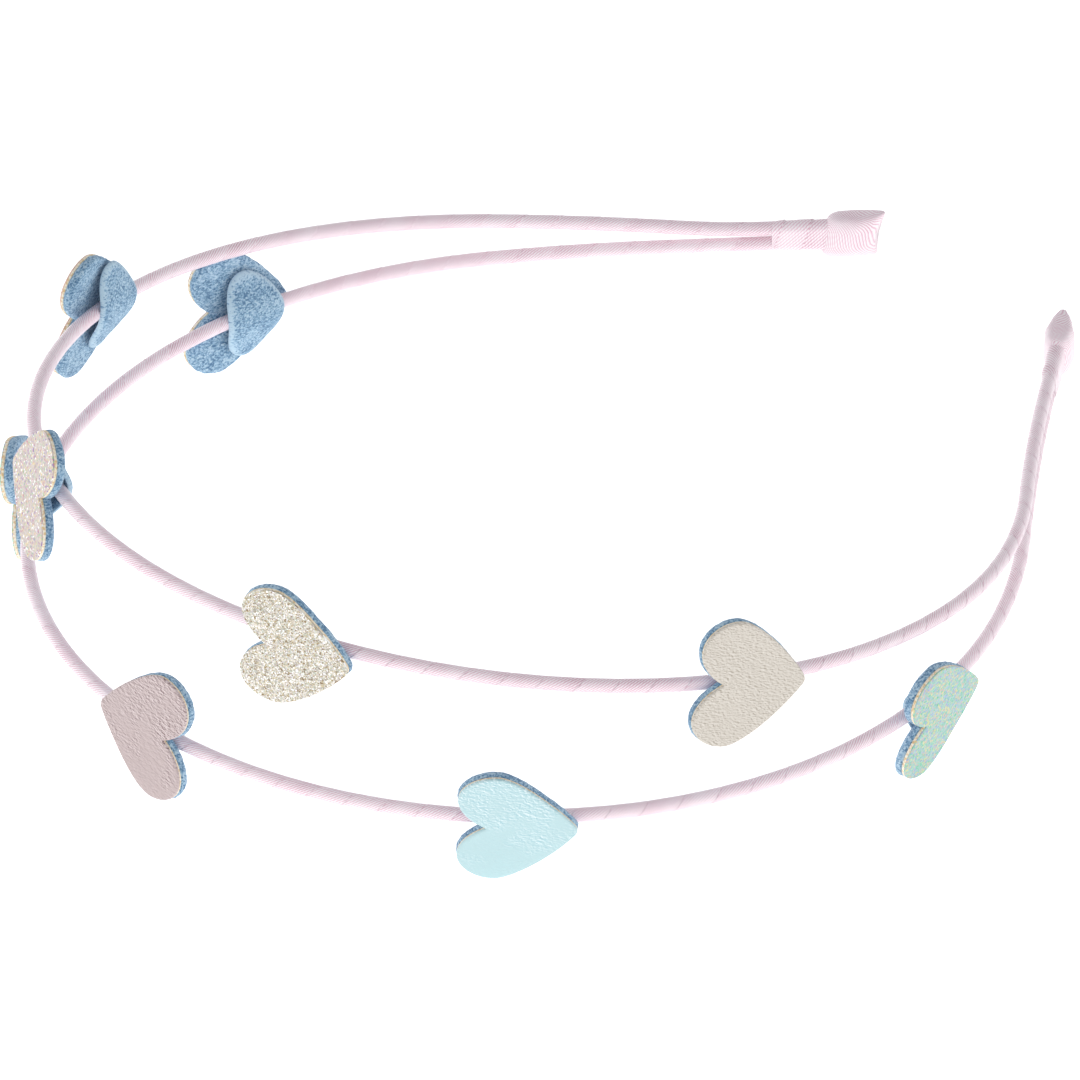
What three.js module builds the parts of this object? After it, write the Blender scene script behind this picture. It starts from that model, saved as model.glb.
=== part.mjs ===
// Heart headband: two ribbon-wound wires bound together at both tips, with nine felt-backed hearts.
// Millimetres, +Z up. The band lies on its side on the lower edges of its hearts, with the crown towards -Y
// and the tips towards +Y. The origin is under the middle of the band, on the surface that it lies on.

import * as THREE from 'three';

// Clearance between pieces that are glued or bound together
const SEAT_GAP = 0.25;

// Wound strands
const STRAND_DIAMETER = 1.75;
const STRAND_SIDES = 10;
const STRAND_FACET = 4.2;
const STRAND_TANGENT_REACH = 0.5;
const STRAND_PITCH = STRAND_DIAMETER + SEAT_GAP;

// Hoop that both strands follow, from the left tip round the crown to the right tip: length of each bend
// in millimetres and how far it turns to the left in degrees. The upper hoop is tilted about the line of
// the tips, where it lies on the lower one.
const LEFT_TIP = { x: -14.7, heading: -135.1 };
const HOOP = [
  { length: 27.5, turn: 1 },
  { length: 20, turn: 6 },
  { length: 16, turn: 13 },
  { length: 32, turn: 28.5 },
  { length: 40, turn: 35.5 },
  { length: 50, turn: 49 },
  { length: 50, turn: 48.5 },
  { length: 40, turn: 40.5 },
  { length: 32, turn: 29 },
  { length: 16, turn: 12 },
  { length: 20, turn: -2.5 },
  { length: 25.5, turn: -3.5 },
];
const HOOP_LENGTH = HOOP.reduce((sum, bend) => sum + bend.length, 0);
const UPPER_TILT = 8.5;
const UPPER_LIFT_OFF = 0.3;

// Ribbon tab folded over each tip: width and thickness at stations from the tip inwards
const TAB_SECTIONS = [
  { station: 0, width: 5.9, thickness: 0.9 },
  { station: 1.2, width: 5.7, thickness: 2.5 },
  { station: 3.4, width: 5.5, thickness: 3.7 },
  { station: 5.6, width: 5.5, thickness: 3.2 },
  { station: 6.6, width: 5.2, thickness: 2.4 },
];
const TAB_SIDES = 16;
const TAB_SQUARENESS = 0.7;
const TAB_LENGTH = TAB_SECTIONS.at(-1).station;

// Ribbon wound round both strands next to the tab
const WRAP_LENGTH = 6.4;
const WRAP_WALL = 0.4;
const WRAP_CLEARANCE = 0.2;
const WRAP_CURVE_STEPS = 8;
const WRAP_START = TAB_LENGTH + SEAT_GAP;

// Die-cut heart, measured across both lobes, and along its axis from the lobes to the corner that its
// blunt point rounds off. Blunt is the share of the point's pull that the rounding takes.
const HEART_LENGTH = 14.4;
const HEART_WIDTH = 16.1;
const HEART_NOTCH_DEPTH = 3.4;
const HEART_LOBE_SPREAD = 8.8;
const HEART_WAIST_FROM_LOBES = 4.5;
const HEART_ROUNDNESS = 0.55;
const HEART_NOTCH_PULL = { x: 1.5, y: 0.7 };
const HEART_WAIST_PULL = 2.5;
const HEART_POINT_PULL = { x: 2.6, y: 3.6 };
const HEART_POINT_BLUNT = 0.2;
const HEART_CURVE_STEPS = 5;
const FELT_THICKNESS = 1.1;
const FACE_THICKNESS = 0.6;

// Oval felt pad glued behind a heart, draped over the strand: two cuts, along the strand and across it,
// and how far each lies towards the heart's point
const PADS = {
  wide: { length: 8.2, width: 11.2, towardsPoint: 1.5 },
  small: { length: 6.8, width: 9, towardsPoint: 0 },
};
const PAD_THICKNESS = 1.1;
const PAD_MOST_SLIDE = 0.5;
const PAD_STRAND_CLEARANCE = 0.5;
const PAD_RIDGE_FLAT = 0.6;
const PAD_RIDGE_FOOT = 3.4;
const PAD_STATIONS = 15;
const PAD_FIRST_ANGLE = 12;

// Hearts in order from the left tip of each strand. Along is the glued place on the strand, and to is the
// tip that the heart points to. From the glued place the heart slides towards its point and is raised over
// the strand. Lean tips its upper edge outwards and roll lifts its point, both in degrees.
const HEARTS = {
  lower: [
    { along: 79, to: 'left', slide: 0, raise: 0.3, lean: 2, roll: -6, pad: 'wide', face: 'pink' },
    { along: 125, to: 'left', slide: 0.5, raise: 0, lean: 8, roll: 6, pad: 'small', face: 'mint' },
    { along: 183, to: 'left', slide: 1, raise: 1, lean: -6.5, roll: 2, pad: 'small', face: 'pink' },
    { along: 229.5, to: 'right', slide: 0.5, raise: 0.4, lean: 11, roll: -1.5, pad: 'small', face: 'aqua' },
    { along: 286, to: 'right', slide: 0.4, raise: 0, lean: 10.5, roll: 4, pad: 'small', face: 'mint' },
  ],
  upper: [
    { along: 105, to: 'left', slide: 0, raise: -0.9, lean: -6, roll: 4.5, pad: 'wide', face: 'peach' },
    { along: 155.6, to: 'left', slide: 1, raise: -0.8, lean: -10.5, roll: -2, pad: 'small', face: 'ivory' },
    { along: 203, to: 'right', slide: 0, raise: -0.6, lean: 3, roll: -1.5, pad: 'small', face: 'champagne' },
    { along: 256, to: 'right', slide: 0.3, raise: 0.6, lean: -4.5, roll: -3, pad: 'small', face: 'beige' },
  ],
};

// The last seven are the sheets on the hearts' faces
const MATERIALS = {
  satin: { color: '#e3c6d3', roughness: 0.38, metalness: 0 },
  felt: { color: '#7fa3c0', roughness: 0.95, metalness: 0 },
  peach: { color: '#e6c3b2', roughness: 0.5, metalness: 0 },
  pink: { color: '#d6c5c3', roughness: 0.55, metalness: 0 },
  aqua: { color: '#cbecf2', roughness: 0.4, metalness: 0 },
  beige: { color: '#dbd5ca', roughness: 0.55, metalness: 0 },
  ivory: { color: '#e8dfd8', roughness: 0.35, metalness: 0.1 },
  champagne: { color: '#ddd6c4', roughness: 0.3, metalness: 0.3 },
  mint: { color: '#b5dcd4', roughness: 0.3, metalness: 0.2 },
};

const UP = new THREE.Vector3(0, 0, 1);
const { degToRad } = THREE.MathUtils;

// Place on the hoop at a distance from the left tip: across, and how far it reaches from the line of
// the tips
function hoopPoint(along) {
  let { x } = LEFT_TIP;
  let reach = 0;
  let heading = degToRad(LEFT_TIP.heading);
  let left = along;
  for (const bend of HOOP) {
    const run = Math.min(left, bend.length);
    const turn = degToRad(bend.turn) * (run / bend.length);
    const chord = turn === 0 ? run : (2 * run * Math.sin(turn / 2)) / turn;
    x += chord * Math.cos(heading + turn / 2);
    reach -= chord * Math.sin(heading + turn / 2);
    heading += turn;
    left -= run;
    if (left <= 0) break;
  }
  return { x, reach };
}

// Centre line of a strand from the left tip round the crown to the right tip, cut short by a margin at
// both tips
class StrandCurve extends THREE.Curve {
  constructor(tilt, margin) {
    super();
    this.tilt = degToRad(tilt);
    this.margin = margin;
    this.length = HOOP_LENGTH;
  }

  pointAlong(along) {
    const { x, reach } = hoopPoint(along);
    return new THREE.Vector3(x, -reach * Math.cos(this.tilt), this.heightAt(reach));
  }

  // Height over the lower strand: bound on top of it at the tips, then up along the tilt
  heightAt(reach) {
    if (this.tilt === 0) return 0;
    const rise = reach * Math.sin(this.tilt);
    return (STRAND_PITCH + rise + Math.hypot(STRAND_PITCH - rise, UPPER_LIFT_OFF)) / 2;
  }

  fromTip(side, distance) {
    return this.pointAlong(side === 'left' ? distance : this.length - distance);
  }

  getPoint(t, target = new THREE.Vector3()) {
    const along = this.margin + t * (this.length - 2 * this.margin);
    return target.copy(this.pointAlong(along));
  }

  // Tangent towards the right tip, outward normal and upward normal at a distance from the left tip
  frameAlong(along) {
    const ahead = this.pointAlong(along + STRAND_TANGENT_REACH);
    const behind = this.pointAlong(along - STRAND_TANGENT_REACH);
    const tangent = ahead.sub(behind).normalize();
    const outward = new THREE.Vector3().crossVectors(tangent, UP).normalize();
    const upward = new THREE.Vector3().crossVectors(outward, tangent);
    return { point: this.pointAlong(along), tangent, outward, upward };
  }
}

// Closed solid through rings of points with the same count, its two ends closed by flat fans
function loft(rings) {
  const count = rings[0].length;
  const positions = rings.flat().flatMap((point) => point.toArray());
  const triangles = [];
  for (let ring = 0; ring + 1 < rings.length; ring += 1) {
    for (let corner = 0; corner < count; corner += 1) {
      const next = (corner + 1) % count;
      const a = ring * count + corner;
      const b = ring * count + next;
      triangles.push(a, b, b + count, a, b + count, a + count);
    }
  }
  const last = (rings.length - 1) * count;
  for (let corner = 1; corner + 1 < count; corner += 1) {
    triangles.push(0, corner + 1, corner);
    triangles.push(last, last + corner, last + corner + 1);
  }
  const geometry = new THREE.BufferGeometry();
  geometry.setAttribute('position', new THREE.Float32BufferAttribute(positions, 3));
  geometry.setIndex(triangles);
  geometry.computeVertexNormals();
  return geometry;
}

// Round section of a strand, swept along its centre line
function strandGeometry(curve) {
  const section = new THREE.Shape(
    new THREE.EllipseCurve(0, 0, STRAND_DIAMETER / 2, STRAND_DIAMETER / 2)
      .getPoints(STRAND_SIDES)
      .slice(0, STRAND_SIDES),
  );
  const steps = Math.round(curve.getLength() / STRAND_FACET);
  return new THREE.ExtrudeGeometry(section, { steps, extrudePath: curve });
}

// Outline with straight sides and round ends, upright along Y
function stadium(path, radius) {
  path.absarc(0, STRAND_PITCH / 2, radius, 0, Math.PI);
  path.absarc(0, -STRAND_PITCH / 2, radius, Math.PI, 2 * Math.PI);
  path.closePath();
  return path;
}

// Sleeve of wound ribbon round the two strands, one over the other
function wrapGeometry() {
  const bore = STRAND_DIAMETER / 2 + WRAP_CLEARANCE;
  const sleeve = stadium(new THREE.Shape(), bore + WRAP_WALL);
  sleeve.holes.push(stadium(new THREE.Path(), bore));
  return new THREE.ExtrudeGeometry(sleeve, {
    depth: WRAP_LENGTH,
    bevelEnabled: false,
    curveSegments: WRAP_CURVE_STEPS,
  });
}

// Flattened pillow of folded ribbon: a rounded-square section at each station
function tabGeometry() {
  const softPower = (value) => Math.sign(value) * Math.abs(value) ** TAB_SQUARENESS;
  const rings = TAB_SECTIONS.map(({ station, width, thickness }) =>
    Array.from({ length: TAB_SIDES }, (_, side) => {
      const angle = (2 * Math.PI * side) / TAB_SIDES;
      const x = (thickness / 2) * softPower(Math.cos(angle));
      const y = (width / 2) * softPower(Math.sin(angle));
      return new THREE.Vector3(x, y, station);
    }),
  );
  return loft(rings);
}

// Heart in the XY plane with its point towards +X and its middle at the origin
function heartShape() {
  const lobeX = -HEART_LENGTH / 2;
  const pointX = HEART_LENGTH / 2;
  const notchX = lobeX + HEART_NOTCH_DEPTH;
  const waistX = lobeX + HEART_WAIST_FROM_LOBES;
  const lobeY = HEART_LOBE_SPREAD / 2;
  const waistY = HEART_WIDTH / 2;
  const round = HEART_ROUNDNESS;
  const notchPull = { x: notchX - HEART_NOTCH_PULL.x, y: HEART_NOTCH_PULL.y };
  const lobeInner = { x: lobeX, y: lobeY * round };
  const lobeOuter = { x: lobeX, y: lobeY + (waistY - lobeY) * round };
  const waistBack = { x: waistX + (lobeX - waistX) * round, y: waistY };
  const waistFront = { x: waistX + HEART_WAIST_PULL, y: waistY };
  const pointPull = { x: pointX - HEART_POINT_PULL.x, y: HEART_POINT_PULL.y };
  const bluntX = pointX - HEART_POINT_PULL.x * HEART_POINT_BLUNT;
  const bluntY = HEART_POINT_PULL.y * HEART_POINT_BLUNT;
  const shape = new THREE.Shape();
  shape.moveTo(notchX, 0);
  shape.bezierCurveTo(notchPull.x, notchPull.y, lobeInner.x, lobeInner.y, lobeX, lobeY);
  shape.bezierCurveTo(lobeOuter.x, lobeOuter.y, waistBack.x, waistBack.y, waistX, waistY);
  shape.bezierCurveTo(waistFront.x, waistFront.y, pointPull.x, pointPull.y, bluntX, bluntY);
  shape.quadraticCurveTo(pointX, 0, bluntX, -bluntY);
  shape.bezierCurveTo(pointPull.x, -pointPull.y, waistFront.x, -waistFront.y, waistX, -waistY);
  shape.bezierCurveTo(waistBack.x, -waistBack.y, lobeOuter.x, -lobeOuter.y, lobeX, -lobeY);
  shape.bezierCurveTo(lobeInner.x, -lobeInner.y, notchPull.x, -notchPull.y, notchX, 0);
  return shape;
}

function heartGeometry(thickness) {
  return new THREE.ExtrudeGeometry(heartShape(), {
    depth: thickness,
    bevelEnabled: false,
    curveSegments: HEART_CURVE_STEPS,
  });
}

// Oval pad cut across into strips: flat at its rim, with a ridge that bridges the strand
function padGeometry({ length, width }) {
  const rimZ = STRAND_DIAMETER / 2;
  const ridgeZ = -STRAND_DIAMETER / 2 - PAD_STRAND_CLEARANCE;
  const rings = [];
  for (let station = 0; station < PAD_STATIONS; station += 1) {
    const sweep = (180 - 2 * PAD_FIRST_ANGLE) * (station / (PAD_STATIONS - 1));
    const angle = degToRad(PAD_FIRST_ANGLE + sweep);
    const y = (-width / 2) * Math.cos(angle);
    const halfLength = (length / 2) * Math.sin(angle);
    const fade = THREE.MathUtils.smoothstep(Math.abs(y), PAD_RIDGE_FLAT, PAD_RIDGE_FOOT);
    const top = THREE.MathUtils.lerp(ridgeZ, rimZ, fade);
    const bottom = top - PAD_THICKNESS;
    rings.push([
      new THREE.Vector3(halfLength, y, top),
      new THREE.Vector3(halfLength, y, bottom),
      new THREE.Vector3(-halfLength, y, bottom),
      new THREE.Vector3(-halfLength, y, top),
    ]);
  }
  return loft(rings);
}

function namedMesh(name, geometry, materialName) {
  const mesh = new THREE.Mesh(geometry, new THREE.MeshStandardMaterial(MATERIALS[materialName]));
  mesh.name = name;
  return mesh;
}

// Group with its axes along three given directions
function framedGroup(origin, xAxis, yAxis, zAxis) {
  const group = new THREE.Group();
  group.position.copy(origin);
  group.quaternion.setFromRotationMatrix(new THREE.Matrix4().makeBasis(xAxis, yAxis, zAxis));
  return group;
}

// Tab and wrap at one tip, midway between the two strands. The group's Z runs from the tip into the band
// and its Y is up.
function endBinding(side, pair) {
  const [first, second] = pair.map((strand) => strand.fromTip(side, WRAP_START));
  const wrapEnd = WRAP_START + WRAP_LENGTH;
  const [firstInner, secondInner] = pair.map((strand) => strand.fromTip(side, wrapEnd));
  const start = first.add(second).divideScalar(2);
  const end = firstInner.add(secondInner).divideScalar(2);
  const inwards = end.sub(start).normalize();
  const tip = start.addScaledVector(inwards, -WRAP_START);
  const across = new THREE.Vector3().crossVectors(UP, inwards).normalize();
  const upward = new THREE.Vector3().crossVectors(inwards, across);
  const group = framedGroup(tip, across, upward, inwards);
  const wrap = namedMesh(`end_wrap_${side}`, wrapGeometry(), 'satin');
  wrap.position.z = WRAP_START;
  group.add(namedMesh(`end_tab_${side}`, tabGeometry(), 'satin'), wrap);
  return group;
}

// One heart on its strand. The group's X runs along the strand to the heart's point and its Z faces
// outwards.
function heartAssembly(name, row, strand) {
  const { point, tangent, outward, upward } = strand.frameAlong(row.along);
  const lean = degToRad(row.lean);
  const facing = outward.clone().multiplyScalar(Math.cos(lean));
  facing.addScaledVector(upward, -Math.sin(lean));
  const isLeft = row.to === 'left';
  const pointing = isLeft ? tangent.clone().negate() : tangent;
  const across = new THREE.Vector3().crossVectors(facing, pointing);
  const upSign = isLeft ? -1 : 1;

  const felt = namedMesh(`heart_felt_${name}`, heartGeometry(FELT_THICKNESS), 'felt');
  const sheet = namedMesh(`heart_face_${name}`, heartGeometry(FACE_THICKNESS), row.face);
  sheet.position.z = FELT_THICKNESS + SEAT_GAP;
  const card = new THREE.Group();
  card.position.set(row.slide, upSign * row.raise, STRAND_DIAMETER / 2 + SEAT_GAP);
  card.rotation.z = upSign * degToRad(row.roll);
  card.add(felt, sheet);

  const cut = PADS[row.pad];
  const pad = namedMesh(`heart_pad_${name}`, padGeometry(cut), 'felt');
  pad.position.x = cut.towardsPoint + Math.min(row.slide, PAD_MOST_SLIDE);
  const group = framedGroup(point, pointing, across, facing);
  group.add(card, pad);
  return group;
}

const strands = {
  lower: new StrandCurve(0, WRAP_START),
  upper: new StrandCurve(UPPER_TILT, WRAP_START),
};

const band = new THREE.Group();
for (const [name, curve] of Object.entries(strands)) {
  band.add(namedMesh(`strand_${name}`, strandGeometry(curve), 'satin'));
}
for (const side of ['left', 'right']) {
  band.add(endBinding(side, Object.values(strands)));
}
for (const [on, rows] of Object.entries(HEARTS)) {
  rows.forEach((row, index) => {
    band.add(heartAssembly(`${on}_${index + 1}`, row, strands[on]));
  });
}

// The middle of the band goes over the origin, and its lowest edge onto the surface
const bounds = new THREE.Box3().setFromObject(band, true);
const middle = bounds.getCenter(new THREE.Vector3());
band.position.set(-middle.x, -middle.y, -bounds.min.z);

const headband = new THREE.Group();
headband.add(band);

export default headband;
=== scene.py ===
"""Heart headband: two ribbon-wound wires with nine felt-backed hearts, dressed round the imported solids.

Lengths are millimetres until a mesh is made, and metres from there on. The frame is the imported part's own:
+Z up, the crown towards -Y and the tips towards +Y.
"""

from __future__ import annotations

import logging
import math
import random
from dataclasses import dataclass, field
from enum import Enum
from functools import cache
from typing import Callable, Sequence

import bpy
from mathutils import Matrix, Vector, geometry, noise

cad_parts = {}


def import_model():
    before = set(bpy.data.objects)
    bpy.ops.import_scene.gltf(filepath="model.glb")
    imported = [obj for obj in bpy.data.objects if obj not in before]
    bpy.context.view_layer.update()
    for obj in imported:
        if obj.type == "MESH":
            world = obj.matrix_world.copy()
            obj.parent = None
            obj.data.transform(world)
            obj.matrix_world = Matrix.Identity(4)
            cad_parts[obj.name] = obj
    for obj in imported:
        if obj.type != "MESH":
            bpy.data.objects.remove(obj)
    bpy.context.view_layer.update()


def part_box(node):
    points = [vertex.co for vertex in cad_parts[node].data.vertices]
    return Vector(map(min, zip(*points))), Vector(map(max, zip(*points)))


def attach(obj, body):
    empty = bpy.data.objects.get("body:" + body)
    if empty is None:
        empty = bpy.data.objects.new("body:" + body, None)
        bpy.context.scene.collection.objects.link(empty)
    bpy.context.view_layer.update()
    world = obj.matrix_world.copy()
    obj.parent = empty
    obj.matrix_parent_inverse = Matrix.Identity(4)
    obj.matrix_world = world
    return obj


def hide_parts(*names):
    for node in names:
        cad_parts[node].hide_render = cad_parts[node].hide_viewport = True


LOG = logging.getLogger("heart_headband")

Tree = bpy.types.NodeTree
Socket = bpy.types.NodeSocket
Colour = tuple[float, float, float, float]

MM = 0.001
UP = Vector((0.0, 0.0, 1.0))
BODY = "root"

# Values that the meshes carry for their materials: places in millimetres, a colour and a share
RIBBON_MM = "ribbon_mm"
SHEET_MM = "sheet_mm"
FLAKE_TINT = "flake_tint"
RIM = "rim"

# A wave texture at scale 1 runs through this many radians in a unit of length
WAVE_RADIANS = 20
# A bend that turns by fewer radians than this is straight
LEAST_TURN = 1e-9
# Distance between the rows of an even triangular grid, for each unit between its columns
ROW_STEP = 0.866
# The kind of triangulation that stays inside the rim, and the distance at which corners fall together
INSIDE_RIM = 1
LEAST_EDGE = 1e-6


class Tip(Enum):
    """One of the band's two tips."""

    LEFT = "left"
    RIGHT = "right"


class Level(Enum):
    """One of the band's two strands."""

    LOWER = "lower"
    UPPER = "upper"


# Where the unevenness of each winding is read from
STRAND_SEED: dict[Level, float] = {Level.LOWER: 3.7, Level.UPPER: 8.2}
WRAP_SEED: dict[Tip, float] = {Tip.LEFT: 5.1, Tip.RIGHT: 6.4}


def linear(hex_colour: str) -> Colour:
    """Turn an sRGB hex colour into linear values.

    Args:
        hex_colour: colour such as "#7fa3c0".

    Returns:
        Linear red, green and blue, and an alpha of 1.
    """
    channels = [int(hex_colour[i : i + 2], 16) / 255 for i in (1, 3, 5)]
    bent = [c / 12.92 if c <= 0.04045 else ((c + 0.055) / 1.055) ** 2.4 for c in channels]
    return (bent[0], bent[1], bent[2], 1.0)


def smooth(low: float, high: float, value: float) -> float:
    """Rise smoothly from 0 at low to 1 at high."""
    t = min(max((value - low) / (high - low), 0.0), 1.0)
    return t * t * (3 - 2 * t)


def mix(first: float, second: float, share: float) -> float:
    """Go from first to second by a share from 0 to 1."""
    return first + (second - first) * share


def add_node(tree: Tree, kind: str, links: dict | None = None, **settings: object) -> bpy.types.Node:
    """Add a node with its settings and links.

    Args:
        tree: the material's node tree.
        kind: the node's type name.
        links: input name or number to the output socket that feeds it, or to a constant value.
        settings: properties of the node.

    Returns:
        The new node.
    """
    node = tree.nodes.new(kind)
    for name, value in settings.items():
        setattr(node, name, value)
    for name, source in (links or {}).items():
        if isinstance(source, Socket):
            tree.links.new(source, node.inputs[name])
        else:
            node.inputs[name].default_value = source
    return node


def start_material(
    name: str, constants: dict[str, object]
) -> tuple[bpy.types.Material, Tree, bpy.types.Node]:
    """Make a material with a Principled surface.

    Args:
        name: the material's name.
        constants: socket name to the value that it has all over the surface.

    Returns:
        The material, its node tree and its Principled node.
    """
    material = bpy.data.materials.new(name)
    material.use_nodes = True
    tree = material.node_tree
    tree.nodes.clear()
    shader = add_node(tree, "ShaderNodeBsdfPrincipled", constants)
    add_node(tree, "ShaderNodeOutputMaterial", {"Surface": shader.outputs["BSDF"]})
    return material, tree, shader


def read_value(tree: Tree, name: str, output: str = "Vector") -> Socket:
    """Read a value that the mesh carries."""
    return add_node(tree, "ShaderNodeAttribute", attribute_name=name).outputs[output]


def read_across(tree: Tree, place: Socket) -> Socket:
    """Take the distance across the cloth out of a place on it."""
    return add_node(tree, "ShaderNodeSeparateXYZ", {"Vector": place}).outputs["Y"]


def combine(tree: Tree, operation: str, *values: Socket | float) -> Socket:
    """Work out a sum, a product or the like of up to three values."""
    return add_node(tree, "ShaderNodeMath", dict(enumerate(values)), operation=operation).outputs[0]


def turned(tree: Tree, place: Socket, turn_deg: float, stretch: float = 1.0) -> Socket:
    """Stretch what is drawn along X, then turn it by an angle in degrees."""
    links = {"Vector": place, "Rotation": (0, 0, math.radians(turn_deg)), "Scale": (1 / stretch, 1, 1)}
    return add_node(tree, "ShaderNodeMapping", links).outputs["Vector"]


def add_noise(
    tree: Tree, place: Socket, size_mm: float, detail: float, roughness: float = 0.5, distortion: float = 0.0
) -> Socket:
    """Add cloudy noise.

    Args:
        tree: the material's node tree.
        place: the place on the cloth, in millimetres.
        size_mm: size of the largest clouds.
        detail: how many finer layers lie on them.
        roughness: how strong the finer layers are.
        distortion: how far the clouds are swirled.

    Returns:
        The noise, from 0 to 1.
    """
    links = {"Vector": place, "Scale": 1 / size_mm, "Detail": detail}
    links |= {"Roughness": roughness, "Distortion": distortion}
    return add_node(tree, "ShaderNodeTexNoise", links).outputs["Fac"]


def add_ramp(tree: Tree, source: Socket, stops: Sequence[float], colours: Sequence[str]) -> Socket:
    """Add a colour ramp between hex colours.

    Args:
        tree: the material's node tree.
        source: the value that the ramp reads.
        stops: values at which the ramp has its colours, in order.
        colours: the hex colour at each stop.

    Returns:
        The ramp's colour.
    """
    ramp = add_node(tree, "ShaderNodeValToRGB", {"Fac": source})
    elements = ramp.color_ramp.elements
    while len(elements) < len(stops):
        elements.new(1.0)
    for element, stop, colour in zip(elements, stops, colours):
        element.position = stop
        element.color = linear(colour)
    return ramp.outputs["Color"]


def add_relief(tree: Tree, shader: bpy.types.Node, height: Socket, strength: float, depth_mm: float) -> None:
    """Raise a surface by a height from 0 to 1.

    Args:
        tree: the material's node tree.
        shader: its Principled node.
        height: the height.
        strength: how much of the relief shows.
        depth_mm: how far a height of 1 stands out.
    """
    links = {"Height": height, "Strength": strength, "Distance": depth_mm * MM}
    bump = add_node(tree, "ShaderNodeBump", links)
    tree.links.new(bump.outputs["Normal"], shader.inputs["Normal"])


@dataclass(frozen=True)
class SatinRibbon:
    """Woven polyester satin ribbon.

    Smooth floating threads give a pearly gloss crossed by a fine diagonal twill.
    """

    name: str = "polyester_satin_ribbon"
    slot: str = "satin_ribbon"
    # Painted shade, plain ribbon and painted glints on lit threads, and the tones at which they show
    colours: tuple[str, ...] = ("#cf8fa8", "#fbe9ef", "#fffafc")
    stops: tuple[float, ...] = (0.08, 0.36, 0.6)
    # The threads lie about 0.1 mm apart, too fine to show, so the twill is drawn three times as coarse
    twill_mm: float = 0.29
    twill_deg: float = 38.0
    twill_sway: float = 1.0
    twill_glint_and_shade: float = 0.42
    # Share of the twill that the cross threads break up
    cross_share: float = 0.5
    relief_mm: float = 0.04
    relief_strength: float = 0.4
    # Size and strength of the soft folds' painted sheen and shade, light and dark streaks along the ribbon
    fold_mm: float = 5.0
    fold_sheen_and_shade: float = 0.3
    lap_shadow_mm: float = 0.3
    lap_shadow_tone: float = 0.06
    roughness: float = 0.32

    def material(self) -> bpy.types.Material:
        """Build the ribbon's material from the place along and across it."""
        material, tree, shader = start_material(
            self.name,
            {"Roughness": self.roughness, "IOR": 1.5, "Sheen Weight": 0.4, "Sheen Roughness": 0.35},
        )
        place = read_value(tree, RIBBON_MM)
        wave = {"Scale": math.tau / (WAVE_RADIANS * self.twill_mm), "Distortion": self.twill_sway}
        wave |= {"Detail": 1.0, "Detail Scale": 2.0}
        twill, cross = (
            add_node(tree, "ShaderNodeTexWave", {"Vector": turned(tree, place, angle), **wave}).outputs["Fac"]
            for angle in (self.twill_deg, self.twill_deg - 90)
        )
        broken = combine(tree, "MULTIPLY_ADD", cross, self.cross_share, 1 - self.cross_share)
        weave = combine(tree, "MULTIPLY", twill, broken)
        # Painted sheen and shade of soft folds
        folds = add_noise(tree, place, self.fold_mm, detail=3.0, roughness=0.6)
        # Painted shadow: the ribbon is darker for a short way from its first edge, along each lap
        lap = {"Value": read_across(tree, place), "From Max": self.lap_shadow_mm, "To Max": self.lap_shadow_tone}
        clear = add_node(tree, "ShaderNodeMapRange", lap).outputs["Result"]
        soft = combine(tree, "MULTIPLY_ADD", folds, self.fold_sheen_and_shade, clear)
        # The twill's floats carry painted glints and its gaps carry painted shade
        tone = combine(tree, "MULTIPLY_ADD", weave, self.twill_glint_and_shade, soft)
        tree.links.new(add_ramp(tree, tone, self.stops, self.colours), shader.inputs["Base Color"])
        add_relief(tree, shader, weave, self.relief_strength, self.relief_mm)
        return material


@dataclass(frozen=True)
class HeatheredFelt:
    """Pressed wool-blend felt.

    Dull matted fibres lie in lighter and darker blues, with a soft pale nap at grazing angles.
    """

    name: str = "pressed_wool_felt"
    slot: str = "blue_felt"
    # Dark, plain and light fibres, and the shares of the tone's range at which they show
    colours: tuple[str, ...] = ("#547a9d", "#8aafcb", "#bcd6e5")
    stops: tuple[float, ...] = (0.1, 0.5, 0.92)
    tone_range: tuple[float, float] = (1.46, 2.04)
    nap: str = "#cfe0ec"
    fibre_mm: float = 0.22
    fibre_length: float = 2.0
    # Direction in degrees and share of the fibre length of each of the three layers of fibre
    layers: tuple[tuple[float, float], ...] = ((18, 1.0), (74, 0.6), (-41, 0.8))
    blotch_mm: float = 2.2
    blotch_tone: float = 0.5
    # How much paler a pad is at its rim: a painted highlight where its loose fibres catch the light
    rim_highlight_tone: float = 0.3
    relief_mm: float = 0.12
    relief_strength: float = 0.7

    def material(self) -> bpy.types.Material:
        """Build the felt's material from streaks of fibre that run several ways."""
        material, tree, shader = start_material(
            self.name,
            {
                "Roughness": 0.95,
                "IOR": 1.45,
                "Specular IOR Level": 0.15,
                "Sheen Weight": 0.45,
                "Sheen Roughness": 0.6,
                "Sheen Tint": linear(self.nap),
            },
        )
        place = read_value(tree, SHEET_MM)
        streaks = []
        for turn_deg, share in self.layers:
            laid = turned(tree, place, turn_deg, self.fibre_length * share)
            streaks.append(add_noise(tree, laid, self.fibre_mm, detail=2.0, roughness=0.55, distortion=0.4))
        pair = combine(tree, "ADD", streaks[0], streaks[1])
        matted = combine(tree, "ADD", pair, streaks[2])
        blotch = add_noise(tree, place, self.blotch_mm, detail=2.0)
        tone = combine(tree, "MULTIPLY_ADD", blotch, self.blotch_tone, matted)
        # Painted highlight on the loose fibres at a pad's rim
        highlighted = combine(tree, "MULTIPLY_ADD", read_value(tree, RIM, "Fac"), self.rim_highlight_tone, tone)
        low, high = self.tone_range
        links = {"Value": highlighted, "From Min": low, "From Max": high}
        spread = add_node(tree, "ShaderNodeMapRange", links).outputs["Result"]
        tree.links.new(add_ramp(tree, spread, self.stops, self.colours), shader.inputs["Base Color"])
        add_relief(tree, shader, matted, self.relief_strength, self.relief_mm)
        return material


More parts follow.
